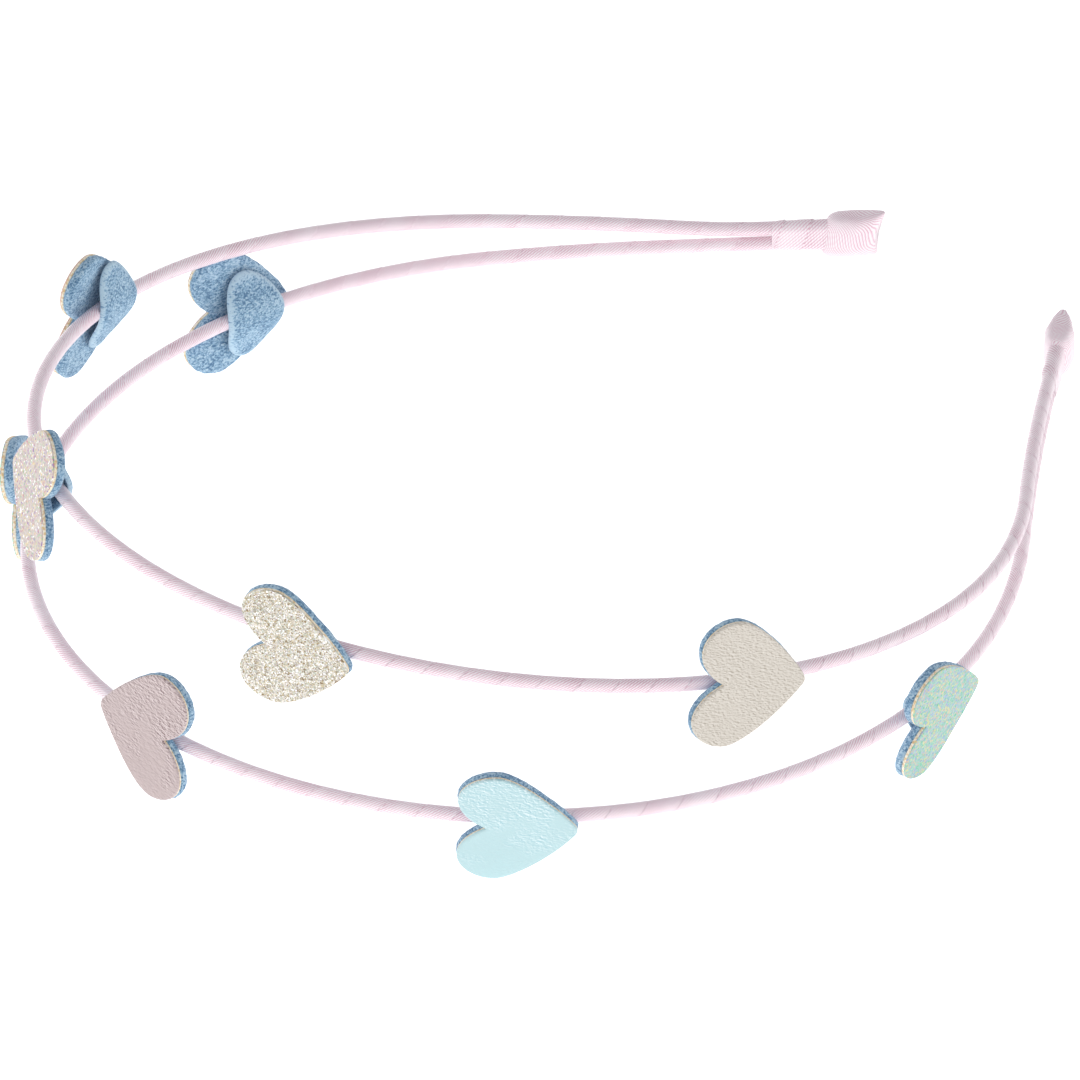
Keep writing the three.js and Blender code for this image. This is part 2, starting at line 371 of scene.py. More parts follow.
@dataclass(frozen=True)
class CutEdge:
    """Cut edge of coated cloth: the pale yellowish backing that shows where the sheet was punched."""

    name: str = "punched_cloth_backing"
    colours: tuple[str, ...] = ("#e2c490", "#fbf3df")
    stops: tuple[float, ...] = (0.36, 0.58)
    fibre_mm: float = 0.3

    def material(self) -> bpy.types.Material:
        """Build the cut edge's material, mottled along the edge."""
        material, tree, shader = start_material(self.name, {"Roughness": 0.85})
        mottle = add_noise(tree, read_value(tree, SHEET_MM), self.fibre_mm, detail=2.0)
        tree.links.new(add_ramp(tree, mottle, self.stops, self.colours), shader.inputs["Base Color"])
        return material


@dataclass(frozen=True)
class Leather:
    """Thin embossed leather: a dyed matt skin broken into small pebbles and creases that catch the light."""

    # The material's name
    slot: str
    # Colours of a crease's painted shaded flank, of the flat and of a painted lit flank, and the tones at
    # which they show
    colours: tuple[str, ...]
    grain_mm: float
    grain_depth_mm: float
    stretch: float
    roughness: float
    coat: float = 0.0
    stops: tuple[float, ...] = (0.1, 0.5, 0.9)
    flat_tone: float = 0.5
    painted_flank_tone: float = 2.0
    pull_deg: float = 28.0
    # Share of the grain's size over which a flank's slope is read
    slope_reach: float = 0.3
    worn_mm: float = 4.0
    # Wear at which the creases' painted shading grows from its least share, and how much more makes it full
    smooth_below: float = 0.32
    wear_range: float = 0.25
    least: float = 0.3
    # How much more the sheet is worn for each millimetre across it
    wear_slope: float = 0.0

    def material(self) -> bpy.types.Material:
        """Build the leather's material from embossed wrinkles, deeper in some places than in others."""
        material, tree, shader = start_material(
            self.slot,
            {"Roughness": self.roughness, "IOR": 1.5, "Coat Weight": self.coat, "Coat Roughness": 0.3},
        )
        place = read_value(tree, SHEET_MM)
        pulled = turned(tree, place, self.pull_deg, self.stretch)
        # The embossing is too shallow for soft light to show, so light and shade on its flanks are painted
        # too
        links = {"Vector": pulled, "Location": (0, self.grain_mm * self.slope_reach, 0)}
        nudged = add_node(tree, "ShaderNodeMapping", links).outputs["Vector"]
        grain, beside = (
            add_noise(tree, vector, self.grain_mm, detail=1.4, distortion=0.5) for vector in (pulled, nudged)
        )
        slope = combine(tree, "SUBTRACT", grain, beside)
        worn = add_noise(tree, place, self.worn_mm, detail=1.0)
        wear = combine(tree, "MULTIPLY_ADD", read_across(tree, place), self.wear_slope, worn)
        links = {"Value": wear, "From Min": self.smooth_below, "To Min": self.least}
        links["From Max"] = self.smooth_below + self.wear_range
        depth = add_node(tree, "ShaderNodeMapRange", links).outputs["Result"]
        flank = combine(tree, "MULTIPLY", slope, depth)
        tone = combine(tree, "MULTIPLY_ADD", flank, self.painted_flank_tone, self.flat_tone)
        tree.links.new(add_ramp(tree, tone, self.stops, self.colours), shader.inputs["Base Color"])
        add_relief(tree, shader, grain, 1.0, self.grain_depth_mm)
        return material


@dataclass(frozen=True)
class GlitterSheet:
    """Glitter cloth: cut polyester film flakes, each tipped its own way so that they flash one by one."""

    name: str
    slot: str
    tints: tuple[str, ...]
    flake_mm: float
    tip_mm: float
    metallic: float
    roughness: float

    def material(self) -> bpy.types.Material:
        """Build the glitter's material from the tint that each flake of the mesh carries."""
        constants = {"Metallic": self.metallic, "Roughness": self.roughness}
        material, tree, shader = start_material(self.name, constants)
        tree.links.new(read_value(tree, FLAKE_TINT, "Color"), shader.inputs["Base Color"])
        return material


class Face(Enum):
    """Sheet on the front of a heart."""

    PEACH = Leather(
        "peach_leather",
        ("#c0957f", "#dfbeae", "#eed5c8"),
        grain_mm=0.28,
        grain_depth_mm=0.08,
        stretch=1.7,
        roughness=0.5,
    )
    PINK = Leather(
        "pink_leather",
        ("#7c6061", "#c7b6b4", "#e9dbda"),
        grain_mm=0.26,
        grain_depth_mm=0.12,
        stretch=2.2,
        roughness=0.46,
        smooth_below=0.36,
        least=0.25,
        wear_slope=-0.03,
    )
    AQUA = Leather(
        "aqua_leather",
        ("#98c4cd", "#b8d7da", "#eaf8fa"),
        grain_mm=0.3,
        grain_depth_mm=0.08,
        stretch=1.6,
        roughness=0.3,
        coat=0.3,
        smooth_below=0.4,
        least=0.1,
        wear_slope=0.035,
    )
    BEIGE = Leather(
        "beige_leather",
        ("#9f9483", "#d7d0c4", "#eee8de"),
        grain_mm=0.22,
        grain_depth_mm=0.09,
        stretch=2.0,
        roughness=0.46,
        smooth_below=0.25,
        least=0.6,
    )
    IVORY = GlitterSheet(
        "ivory_shimmer",
        "ivory_glitter",
        ("#cabcb4",) * 6 + ("#d4cac2",) * 4 + ("#ffffff", "#9a7fb0", "#9cc294", "#c48a99", "#e4d196"),
        flake_mm=0.3,
        tip_mm=0.03,
        metallic=0.1,
        roughness=0.4,
    )
    CHAMPAGNE = GlitterSheet(
        "champagne_glitter",
        "champagne_glitter",
        ("#e2dccd", "#ffffff", "#c8b996", "#917b59", "#cec6c6", "#b2aea0", "#ece6d8", "#c3c9ba"),
        flake_mm=0.2,
        tip_mm=0.05,
        metallic=0.3,
        roughness=0.3,
    )
    MINT = GlitterSheet(
        "mint_glitter",
        "mint_glitter",
        ("#8ec7b3", "#a0c6c0", "#95a7ce", "#d3d093", "#77c3a3", "#cab3a7", "#9fbebf", "#9dc1b8"),
        flake_mm=0.3,
        tip_mm=0.045,
        metallic=0.2,
        roughness=0.32,
    )


@dataclass(frozen=True)
class PaleFloor:
    """Matt white paper sweep: an even, almost shadowless ground that throws light back up."""

    name: str = "white_paper_sweep"
    paper: str = "#ffffff"
    speck: str = "#f6f6f6"
    stops: tuple[float, ...] = (0.3, 0.7)
    glow: float = 0.75

    def material(self) -> bpy.types.Material:
        """Build the floor's material, lit from within a little so that shadows stay faint."""
        glow = {"Emission Color": linear(self.paper), "Emission Strength": self.glow}
        material, tree, shader = start_material(self.name, {"Roughness": 0.9, **glow})
        grain = add_node(tree, "ShaderNodeTexNoise", {"Scale": 400.0, "Detail": 2.0}).outputs["Fac"]
        colour = add_ramp(tree, grain, self.stops, (self.speck, self.paper))
        tree.links.new(colour, shader.inputs["Base Color"])
        return material


Cloth = SatinRibbon | HeatheredFelt | Leather | GlitterSheet


@cache
def material_of(finish: Cloth | CutEdge | PaleFloor) -> bpy.types.Material:
    """Build a finish's material once, however many pieces wear it."""
    return finish.material()


@dataclass
class Shape:
    """A mesh in the making: points in millimetres, faces, and the values that its material reads."""

    points: list[Vector] = field(default_factory=list)
    faces: list[tuple[int, ...]] = field(default_factory=list)
    places: list[Vector] = field(default_factory=list)
    rims: list[float] = field(default_factory=list)
    slots: list[int] = field(default_factory=list)
    tints: list[Colour] = field(default_factory=list)

    def add_point(self, point: Vector, place: Vector, rim: float = 0.0) -> int:
        """Add a point with its place on the cloth and its nearness to the rim, and return its number."""
        self.points.append(point)
        self.places.append(place)
        self.rims.append(rim)
        return len(self.points) - 1

    def add_face(self, *corners: int, slot: int = 0) -> None:
        """Add a face on a material slot, left out where its corners fall together."""
        distinct = tuple(dict.fromkeys(corners))
        if len(distinct) > 2:
            self.faces.append(distinct)
            self.slots.append(slot)

    def add_band(self, first: Sequence[int], second: Sequence[int], slot: int = 0) -> None:
        """Close the gap between two rings of points with the same count.

        Args:
            first: numbers of the points of the first ring.
            second: numbers of the points of the second ring.
            slot: material slot of the faces.
        """
        count = len(first)
        for i in range(count):
            j = (i + 1) % count
            self.add_face(first[i], first[j], second[j], second[i], slot=slot)

    def add_fan(self, ring: Sequence[int], middle: int, slot: int = 0) -> None:
        """Close a ring of points with triangles to a middle point."""
        for i, corner in enumerate(ring):
            self.add_face(corner, ring[(i + 1) % len(ring)], middle, slot=slot)

    def build(
        self, name: str, value: str, materials: Sequence[bpy.types.Material], is_flat: bool
    ) -> bpy.types.Object:
        """Make a Blender object of the shape.

        Args:
            name: the object's name.
            value: name of the mesh value that holds the places.
            materials: materials by slot.
            is_flat: whether each face keeps its own normal.

        Returns:
            The new object, in metres.
        """
        mesh = bpy.data.meshes.new(name)
        mesh.from_pydata([p * MM for p in self.points], [], self.faces)
        for material in materials:
            mesh.materials.append(material)
        mesh.polygons.foreach_set("material_index", self.slots)
        mesh.polygons.foreach_set("use_smooth", [not is_flat] * len(self.faces))
        places = mesh.attributes.new(value, "FLOAT_VECTOR", "POINT")
        places.data.foreach_set("vector", [c for place in self.places for c in place])
        mesh.attributes.new(RIM, "FLOAT", "POINT").data.foreach_set("value", self.rims)
        if self.tints:
            tints = mesh.attributes.new(FLAKE_TINT, "FLOAT_COLOR", "FACE")
            tints.data.foreach_set("color", [c for tint in self.tints for c in tint])
        mesh.validate()
        mesh.update()
        thing = bpy.data.objects.new(name, mesh)
        bpy.context.scene.collection.objects.link(thing)
        return thing

    def hand_in(
        self, node: str, ending: str, cloth: Cloth, edge: CutEdge | None = None, is_flat: bool = False
    ) -> None:
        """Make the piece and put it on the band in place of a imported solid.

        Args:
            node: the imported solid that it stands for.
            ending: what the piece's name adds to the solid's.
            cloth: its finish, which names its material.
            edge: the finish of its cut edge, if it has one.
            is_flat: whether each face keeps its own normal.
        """
        value = RIBBON_MM if isinstance(cloth, SatinRibbon) else SHEET_MM
        materials = [material_of(finish) for finish in (cloth, edge) if finish]
        thing = self.build(f"{node}_{ending}", value, materials, is_flat)
        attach(thing, BODY)
        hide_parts(node)
        LOG.info("%s stands for %s, %d faces", thing.name, node, len(thing.data.polygons))


@dataclass(frozen=True)
class Winding:
    """Ribbon wound on the bias, each turn lapped over the one before."""

    pitch: float
    lap: float
    sides: int = 20
    stray: float = 0.3
    stray_per_turn: float = 0.9
    is_left_handed: bool = False
    # Shares of the ribbon's width, close together at its edges so that a lap shows as a fine line
    rows: tuple[float, ...] = (0.0, 0.03, 0.35, 0.65, 0.97, 1.0)
    # Share of the lap by which the first edge stands out, and how late the ribbon dips under the next turn
    lap_rise: float = 0.25
    lap_dip: float = 1.5

    def wind(
        self, surface: Callable[[float, float, float], Vector], start: float, end: float, seed: float
    ) -> Shape:
        """Wind a closed tube of ribbon round a core.

        Args:
            surface: point for a distance along the core, a share of a turn, and a height over its surface.
            start: where the winding starts along the core.
            end: where it ends.
            seed: where the unevenness of the hand is read from.

        Returns:
            The wound shape, with each point's place along and across the ribbon.
        """
        shape = Shape()
        turns = math.ceil((end - start) / self.pitch) + 2
        steps = turns * self.sides

        def edge(step: int) -> float:
            """Find the ribbon's first edge at a step of the helix."""
            sway = noise.noise(Vector((seed, step / self.sides * self.stray_per_turn, 0.5)))
            return start + self.pitch * (step / self.sides - 1) + self.stray * sway

        # A turn counts as half the girth, so the weave is drawn coarser along the ribbon than across it
        half_girth = (surface(start, 0.25, 0) - surface(start, 0.75, 0)).length * math.pi / 2
        way = -1 if self.is_left_handed else 1
        rows, alongs = [], []
        for step in range(steps + 1):
            low, high = edge(step), edge(step + self.sides)
            row = []
            for share in self.rows:
                along = min(max(mix(low, high, share), start), end)
                height = self.lap * (self.lap_rise - share**self.lap_dip)
                point = surface(along, (way * step / self.sides) % 1.0, height)
                place = Vector((step / self.sides * half_girth, share * self.pitch, seed))
                row.append(shape.add_point(point, place))
                alongs.append(along)
            rows.append(row)
        for step in range(steps):
            this, after = rows[step], rows[step + 1]
            for part in range(len(self.rows) - 1):
                corners = (this[part], this[part + 1], after[part + 1], after[part])
                if len({alongs[corner] for corner in corners}) > 1:
                    shape.add_face(*corners[::way])
            if step + self.sides < steps:
                lapped, lapped_after = rows[step + self.sides], rows[step + self.sides + 1]
                if start < alongs[this[-1]] < end:
                    corners = (this[-1], lapped[0], lapped_after[0], after[-1])
                    shape.add_face(*corners[::way])
        return shape


@dataclass
class Hoop:
    """Curve that both strands follow, from the left tip to the right tip."""

    tip_x: float = -14.7
    tip_heading: float = -135.1
    # Length of each bend and its turn to the left in degrees
    bends: tuple[tuple[float, float], ...] = (
        *((27.5, 1), (20, 6), (16, 13), (32, 28.5), (40, 35.5), (50, 49)),
        *((50, 48.5), (40, 40.5), (32, 29), (16, 12), (20, -2.5), (25.5, -3.5)),
    )

    @property
    def length(self) -> float:
        """Length of the hoop from tip to tip."""
        return sum(length for length, _ in self.bends)

    def place(self, along: float) -> tuple[float, float]:
        """Find a place on the hoop.

        Args:
            along: distance from the left tip.

        Returns:
            How far it lies to the right, and how far it reaches from the line of the tips.
        """
        x, reach, heading, left = self.tip_x, 0.0, math.radians(self.tip_heading), along
        for length, turn_deg in self.bends:
            run = min(left, length)
            turn = math.radians(turn_deg) * run / length
            chord = run if abs(turn) < LEAST_TURN else 2 * run * math.sin(turn / 2) / turn
            x += chord * math.cos(heading + turn / 2)
            reach -= chord * math.sin(heading + turn / 2)
            heading += turn
            left -= run
            if left <= 0:
                break
        return x, reach


@dataclass
class Strand:
    """One thin wire wound with satin ribbon, from the binding at the left tip to the one at the right tip."""

    level: Level
    hoop: Hoop
    shift: Vector
    tilt_deg: float = 0.0
    diameter: float = 1.75
    seat_gap: float = 0.25
    lift_off: float = 0.3
    margin: float = 6.85
    tangent_reach: float = 0.5
    winding: Winding = Winding(pitch=4.4, lap=0.018)

    @property
    def pitch(self) -> float:
        """Height of the upper strand over the lower one where they are bound."""
        return self.diameter + self.seat_gap

    def point(self, along: float) -> Vector:
        """Find the centre of the strand at a distance from the left tip."""
        x, reach = self.hoop.place(along)
        tilt = math.radians(self.tilt_deg)
        height = 0.0
        if self.tilt_deg:
            rise = reach * math.sin(tilt)
            height = (self.pitch + rise + math.hypot(self.pitch - rise, self.lift_off)) / 2
        return self.shift + Vector((x, -reach * math.cos(tilt), height))

    def from_tip(self, tip: Tip, distance: float) -> Vector:
        """Find the centre of the strand at a distance from one of its tips."""
        return self.point(distance if tip is Tip.LEFT else self.hoop.length - distance)

    def axes(self, along: float) -> tuple[Vector, Vector, Vector]:
        """Find the strand's directions at a distance from the left tip.

        Args:
            along: distance from the left tip.

        Returns:
            The directions towards the right tip, outwards and upwards.
        """
        ahead = self.point(along + self.tangent_reach)
        tangent = (ahead - self.point(along - self.tangent_reach)).normalized()
        outward = tangent.cross(UP).normalized()
        return tangent, outward, outward.cross(tangent)

    def build(self, finish: SatinRibbon) -> None:
        """Wind the strand's ribbon and dress it."""

        def surface(along: float, turn: float, height: float) -> Vector:
            """Find a point over the wire."""
            _, outward, upward = self.axes(along)
            spoke = outward * math.cos(turn * math.tau) + upward * math.sin(turn * math.tau)
            return self.point(along) + spoke * (self.diameter / 2 + height)

        end = self.hoop.length - self.margin
        shape = self.winding.wind(surface, self.margin, end, STRAND_SEED[self.level])
        shape.hand_in(f"strand_{self.level.value}", "ribbon", finish)


@dataclass
class EndBinding:
    """Ribbon wound round both strands at one tip, and the wider ribbon tab folded over the wire ends."""

    tip: Tip
    strands: Sequence[Strand]
    # How far the tab's top edge lies out past its lower edge, for each unit of its width
    tab_skew: float
    wrap_length: float = 6.4
    wrap_clearance: float = 0.16
    wrap_taper: float = 1.2
    tuck: float = 0.6
    cap_inset: float = 0.08
    winding: Winding = Winding(pitch=3.3, lap=0.12, sides=40, stray=0.35, is_left_handed=True)
    tab_length: float = 6.9
    tab_squareness: float = 0.55
    tab_sides: int = 48
    tab_rings: int = 26
    # Distance from the tip, width and thickness of the tab
    tab_stations: tuple[tuple[float, float, float], ...] = (
        (0.0, 5.9, 0.9),
        (1.2, 5.7, 2.6),
        (3.4, 5.5, 3.7),
        (5.6, 5.5, 3.2),
        (6.6, 5.2, 2.4),
    )
    # Depth of the hollow in the outer end, and how soon it fades along the tab
    tab_hollow: float = 0.75
    tab_hollow_fade: int = 3
    # Shares of the tab's length over which its outer and inner ends are rounded
    tab_outer_round: float = 0.07
    tab_inner_round: float = 0.14
    # Shares of the thickness and the width that are left at the very ends
    tab_end_thickness: float = 0.72
    tab_outer_width: float = 0.95
    tab_inner_width: float = 0.78
    # Depth of the soft creases, how many there are to a millimetre, and where each side's are read from
    crease: float = 0.07
    creases_across: float = 0.5
    creases_along: float = 0.45
    crease_seeds: tuple[float, float] = (3.0, 9.0)
    # The weave on the tab is read this far inside the ribbon, clear of the shadow at its edge
    from_edge: float = 5.0
    # Where the weave is read from on the tab, on its ends and on the cap of the wrap
    tab_seed: float = 2.0
    tab_end_seed: float = 4.0
    cap_seed: float = 5.0

    def axes(self) -> tuple[Vector, Matrix]:
        """Find the tip's place and directions.

        Returns:
            The tip between the strands, and the directions across, up and into the band as columns.
        """
        start_at = self.strands[0].margin
        starts = [strand.from_tip(self.tip, start_at) for strand in self.strands]
        ends = [strand.from_tip(self.tip, start_at + self.wrap_length) for strand in self.strands]
        start, end = sum(starts, Vector()) / 2, sum(ends, Vector()) / 2
        inwards = (end - start).normalized()
        across = UP.cross(inwards).normalized()
        upward = inwards.cross(across)
        return start - inwards * start_at, Matrix((across, upward, inwards)).transposed()

    def build(self, finish: SatinRibbon) -> None:
        """Build the wrap and the tab and dress them."""
        self.build_wrap(finish)
        self.build_tab(finish)

    def build_wrap(self, finish: SatinRibbon) -> None:
        """Wind the ribbon that binds the two strands, and close its inner end."""
        tip, turn_to = self.axes()
        start = self.strands[0].margin - self.tuck
        end = start + self.wrap_length + self.tuck
        half_gap = self.strands[0].pitch / 2
        radius = self.strands[0].diameter / 2 + self.wrap_clearance
        straight = 2 * half_gap
        girth = 2 * straight + math.tau * radius

        def surface(along: float, turn: float, height: float) -> Vector:
            """Find a point on the binding: two straight sides joined by round ends."""
            run = (turn % 1.0) * girth
            reach = radius + height - self.wrap_clearance * (1 - smooth(0.0, self.wrap_taper, end - along))
            if run < straight:
                x, y = reach, run - half_gap
            elif run < straight + math.pi * radius:
                angle = (run - straight) / radius
                x, y = reach * math.cos(angle), half_gap + reach * math.sin(angle)
            elif run < 2 * straight + math.pi * radius:
                x, y = -reach, half_gap - (run - straight - math.pi * radius)
            else:
                angle = math.pi + (run - 2 * straight - math.pi * radius) / radius
                x, y = reach * math.cos(angle), -half_gap + reach * math.sin(angle)
            return tip + turn_to @ Vector((x, y, along))

        shape = self.winding.wind(surface, start, end, WRAP_SEED[self.tip])
        place = Vector((0.0, self.from_edge, self.cap_seed))
        cap_at = end - self.cap_inset
        turns = [side / self.winding.sides for side in range(self.winding.sides)]
        ring = [shape.add_point(surface(cap_at, turn, 0.0), place) for turn in turns]
        shape.add_fan(ring, shape.add_point(tip + turn_to @ Vector((0, 0, cap_at)), place))
        shape.hand_in(f"end_wrap_{self.tip.value}", "ribbon", finish)

    def section(self, station: float) -> tuple[float, float]:
        """Find the tab's width and thickness at a distance from the tip."""
        for (low, w0, t0), (high, w1, t1) in zip(self.tab_stations, self.tab_stations[1:]):
            if station <= high:
                share = (station - low) / (high - low)
                return mix(w0, w1, share), mix(t0, t1, share)
        return self.tab_stations[-1][1:]

    @staticmethod
    def rounding(share: float) -> float:
        """Rise along a quarter circle from 0 at the end of the tab to 1."""
        return math.sqrt(1 - (1 - min(share, 1.0)) ** 2)

    def crease_at(self, y: float, station: float, is_front: bool) -> float:
        """Find how far a soft crease stands out at a place on one side of the tab."""
        seed = self.crease_seeds[0 if is_front else 1]
        spot = Vector((y * self.creases_across, station * self.creases_along, seed))
        return self.crease * noise.noise(spot)

    def build_tab(self, finish: SatinRibbon) -> None:
        """Build the folded ribbon over the tip: a soft pillow with a hollow outer end and rounded folds."""
        tip, turn_to = self.axes()
        shape = Shape()
        rings = []
        thinnest = self.tab_end_thickness
        for number in range(self.tab_rings + 1):
            share = number / self.tab_rings
            station = self.tab_length * share
            width, thickness = self.section(station)
            outer = self.rounding(share / self.tab_outer_round)
            inner = self.rounding((1 - share) / self.tab_inner_round)
            thinning = mix(thinnest, 1.0, outer) * mix(thinnest, 1.0, inner)
            narrowing = mix(self.tab_outer_width, 1.0, outer) * mix(self.tab_inner_width, 1.0, inner)
            fade = self.tab_hollow * (1 - share) ** self.tab_hollow_fade
            ring = []
            for side in range(self.tab_sides):
                # The ring starts at the lower edge, where the weave meets itself
                angle = math.tau * side / self.tab_sides - math.pi / 2
                cos, sin = math.cos(angle), math.sin(angle)
                x = math.copysign(abs(cos) ** self.tab_squareness, cos) * thickness / 2 * thinning
                y = math.copysign(abs(sin) ** self.tab_squareness, sin) * width / 2 * narrowing
                crease = self.crease_at(y, station, x > 0)
                hollow = fade * (1 - (2 * y / width) ** 2)
                local = Vector((x + math.copysign(crease, x), y, station + hollow - self.tab_skew * y))
                around = side / self.tab_sides * (2 * width + 2 * thickness)
                place = Vector((station, around + self.from_edge, self.tab_seed))
                ring.append(shape.add_point(tip + turn_to @ local, place))
            rings.append(ring)
        for first, second in zip(rings, rings[1:]):
            shape.add_band(first, second)
        place = Vector((0.0, self.from_edge, self.tab_end_seed))
        for ring, is_tip in ((rings[0], True), (rings[-1], False)):
            middle = sum((shape.points[i] for i in ring), Vector()) / len(ring)
            shape.add_fan(ring[::-1] if is_tip else ring, shape.add_point(middle, place))
        shape.hand_in(f"end_tab_{self.tip.value}", "ribbon", finish)


@dataclass(frozen=True)
class HeartCut:
    """Outline of the punched heart, its point towards +X and its middle at the origin."""

    length: float = 14.4
    width: float = 16.1
    notch_depth: float = 3.4
    lobe_spread: float = 8.8
    waist_from_lobes: float = 4.5
    roundness: float = 0.55
    notch_pull: tuple[float, float] = (1.5, 0.7)
    waist_pull: float = 2.5
    point_pull: tuple[float, float] = (2.6, 3.6)
    # Share of the point's pull that its rounding takes
    blunt: float = 0.2
    steps: int = 22
    point_steps: int = 5

    def outline(self) -> list[Vector]:
        """Walk round the heart from its notch.

        Returns:
            Points in the plane, in order, without a repeat of the first.
        """
        lobe_x, point_x = -self.length / 2, self.length / 2
        notch_x, waist_x = lobe_x + self.notch_depth, lobe_x + self.waist_from_lobes
        lobe_y, waist_y = self.lobe_spread / 2, self.width / 2
        blunt_x, blunt_y = point_x - self.point_pull[0] * self.blunt, self.point_pull[1] * self.blunt
        tip_x = (blunt_x + point_x) / 2
        # Each curve has four of these points, and starts where the last one ended
        pulls = (
            (notch_x, 0),
            (notch_x - self.notch_pull[0], self.notch_pull[1]),
            (lobe_x, lobe_y * self.roundness),
            (lobe_x, lobe_y),
            (lobe_x, mix(lobe_y, waist_y, self.roundness)),
            (mix(waist_x, lobe_x, self.roundness), waist_y),
            (waist_x, waist_y),
            (waist_x + self.waist_pull, waist_y),
            (point_x - self.point_pull[0], self.point_pull[1]),
            (blunt_x, blunt_y),
            (mix(blunt_x, tip_x, 2 / 3), blunt_y * 2 / 3),
            (tip_x, blunt_y / 3),
            (tip_x, 0),
        )
        half = []
        for first, steps in ((0, self.steps), (3, self.steps), (6, self.steps), (9, self.point_steps)):
            a, b, c, d = (Vector((x, y, 0)) for x, y in pulls[first : first + 4])
            for step in range(steps):
                t = step / steps
                half.append(a * (1 - t) ** 3 + b * 3 * t * (1 - t) ** 2 + c * 3 * t * t * (1 - t) + d * t**3)
        # Against the clock as its front shows, so that the faces look outwards
        mirrored = [Vector((p.x, -p.y, 0)) for p in half]
        return mirrored + [Vector((tip_x, 0, 0))] + half[:0:-1]


@dataclass(frozen=True)
class PadCut:
    """An oval felt pad: its length along the strand, its width, and how it lies on the heart."""

    length: float
    width: float
    towards_point: float
    off_felt: float


class Pad(Enum):
    """One of the two cuts of felt pad."""

    WIDE = PadCut(8.2, 11.2, 0.7, 0.55)
    SMALL = PadCut(6.2, 8.2, 0.0, 0.35)


